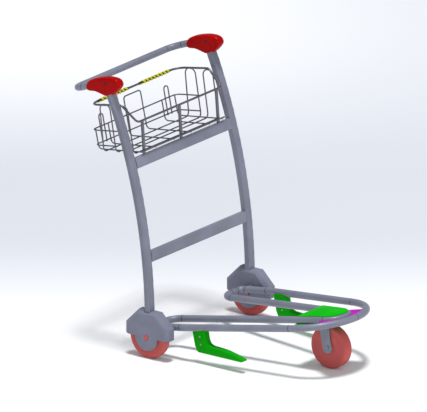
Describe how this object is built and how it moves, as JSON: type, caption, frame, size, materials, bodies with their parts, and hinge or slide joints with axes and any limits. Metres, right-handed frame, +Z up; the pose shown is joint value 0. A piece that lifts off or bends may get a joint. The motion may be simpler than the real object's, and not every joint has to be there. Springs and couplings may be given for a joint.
{
  "type": "airport luggage trolley",
  "caption": "Three-wheeled luggage trolley with bent tube base, curved uprights, wire basket, swivel front wheel and sprung brake-release handle.",
  "frame": {"origin": "middle of the bounding box on the floor, between the wheels' contact points", "axes": "+X forward towards the swivel wheel, +Y to the trolley's left, +Z up"},
  "size_m": [1.0776, 0.657, 1.0312],
  "materials": {
    "frame_metal": "satin",
    "wire_metal": "satin",
    "fitting_steel": "satin",
    "housing_plastic": "matte",
    "wheel_plastic": "satin",
    "tyre_rubber": "satin",
    "red_plastic": "gloss",
    "green_paint": "satin",
    "green_rubber": "matte",
    "magenta_paint": "satin",
    "yellow_plastic": "gloss",
    "dark_rubber": "matte"
  },
  "bodies": {
    "frame": {"upright_left": "frame_metal", "upright_right": "frame_metal", "upright_plugs": "dark_rubber", "brake_cables": "dark_rubber", "pivot_pins": "fitting_steel", "wheel_fork_left": "frame_metal", "wheel_fork_right": "frame_metal", "housing_outer_left": "housing_plastic", "housing_outer_right": "housing_plastic", "housing_inner_left": "housing_plastic", "housing_inner_right": "housing_plastic", "rear_axles": "fitting_steel", "rear_axle_nuts": "fitting_steel", "brake_pins": "fitting_steel", "base_lugs": "frame_metal", "crossbar_upper": "frame_metal", "crossbar_lower": "frame_metal", "base_outer_tube": "frame_metal", "base_inner_tube": "frame_metal", "base_hairpin_left": "frame_metal", "base_hairpin_right": "frame_metal", "deck_plate": "green_paint", "nose_plate": "magenta_paint", "under_plate": "green_paint", "caster_top_plate": "frame_metal", "swivel_upper_race": "fitting_steel", "foot_left": "green_rubber", "foot_right": "green_rubber", "foot_tabs": "fitting_steel", "foot_bolts": "fitting_steel", "basket_rim": "wire_metal", "basket_mid_ring": "wire_metal", "basket_lower_ring": "wire_metal", "basket_hoops": "wire_metal", "basket_centre_arch": "wire_metal", "basket_rear_wires": "wire_metal", "basket_posts": "wire_metal", "basket_front_wire": "wire_metal", "sleeve_left": "yellow_plastic", "sleeve_right": "yellow_plastic"},
    "handle": {"handle_tube": "frame_metal", "knuckle_left": "red_plastic", "knuckle_right": "red_plastic", "handle_springs": "fitting_steel"},
    "rear_wheel_left": {"rear_tyre_left": "tyre_rubber", "rear_core_left": "wheel_plastic", "rear_bearings_left": "fitting_steel"},
    "rear_wheel_right": {"rear_tyre_right": "tyre_rubber", "rear_core_right": "wheel_plastic", "rear_bearings_right": "fitting_steel"},
    "brake_shoe_left": {"brake_shoe_left": "dark_rubber"},
    "brake_shoe_right": {"brake_shoe_right": "dark_rubber"},
    "caster": {"caster_fork": "frame_metal", "swivel_lower_race": "fitting_steel", "kingpin": "fitting_steel", "caster_nuts": "fitting_steel", "front_axle": "fitting_steel"},
    "front_wheel": {"front_tyre": "tyre_rubber", "front_core": "wheel_plastic", "front_bearings": "fitting_steel"}
  },
  "joints": [
    {"name": "rear_wheel_left_spin", "type": "hinge", "parent": "frame", "child": "rear_wheel_left", "pos_m": [-0.17598, 0.302, 0.08], "axis": [0, 1, 0], "continuous": true},
    {"name": "rear_wheel_right_spin", "type": "hinge", "parent": "frame", "child": "rear_wheel_right", "pos_m": [-0.17598, -0.302, 0.08], "axis": [0, 1, 0], "continuous": true},
    {"name": "caster_swivel", "type": "hinge", "parent": "frame", "child": "caster", "pos_m": [0.38902, 0, 0.165], "axis": [0, 0, 1], "continuous": true},
    {"name": "front_wheel_spin", "type": "hinge", "parent": "caster", "child": "front_wheel", "pos_m": [0.41602, 0, 0.08], "axis": [0, 1, 0], "continuous": true},
    {"name": "handle_press", "type": "hinge", "parent": "frame", "child": "handle", "pos_m": [-0.36732, 0, 1.0075], "axis": [0, -1, 0], "range_deg": [0, 7], "stiffness_Nm_per_rad": 40, "springref_deg": -14.32},
    {"name": "brake_release_left", "type": "hinge", "parent": "frame", "child": "brake_shoe_left", "pos_m": [-0.2276, 0.302, 0.15372], "axis": [0, 1, 0], "range_deg": [0, 3.5]},
    {"name": "brake_release_right", "type": "hinge", "parent": "frame", "child": "brake_shoe_right", "pos_m": [-0.2276, -0.302, 0.15372], "axis": [0, 1, 0], "range_deg": [0, 3.5]}
  ],
  "couplings": [
    {"joint": "brake_release_left", "follows": "handle_press", "ratio": 0.5},
    {"joint": "brake_release_right", "follows": "handle_press", "ratio": 0.5}
  ]
}
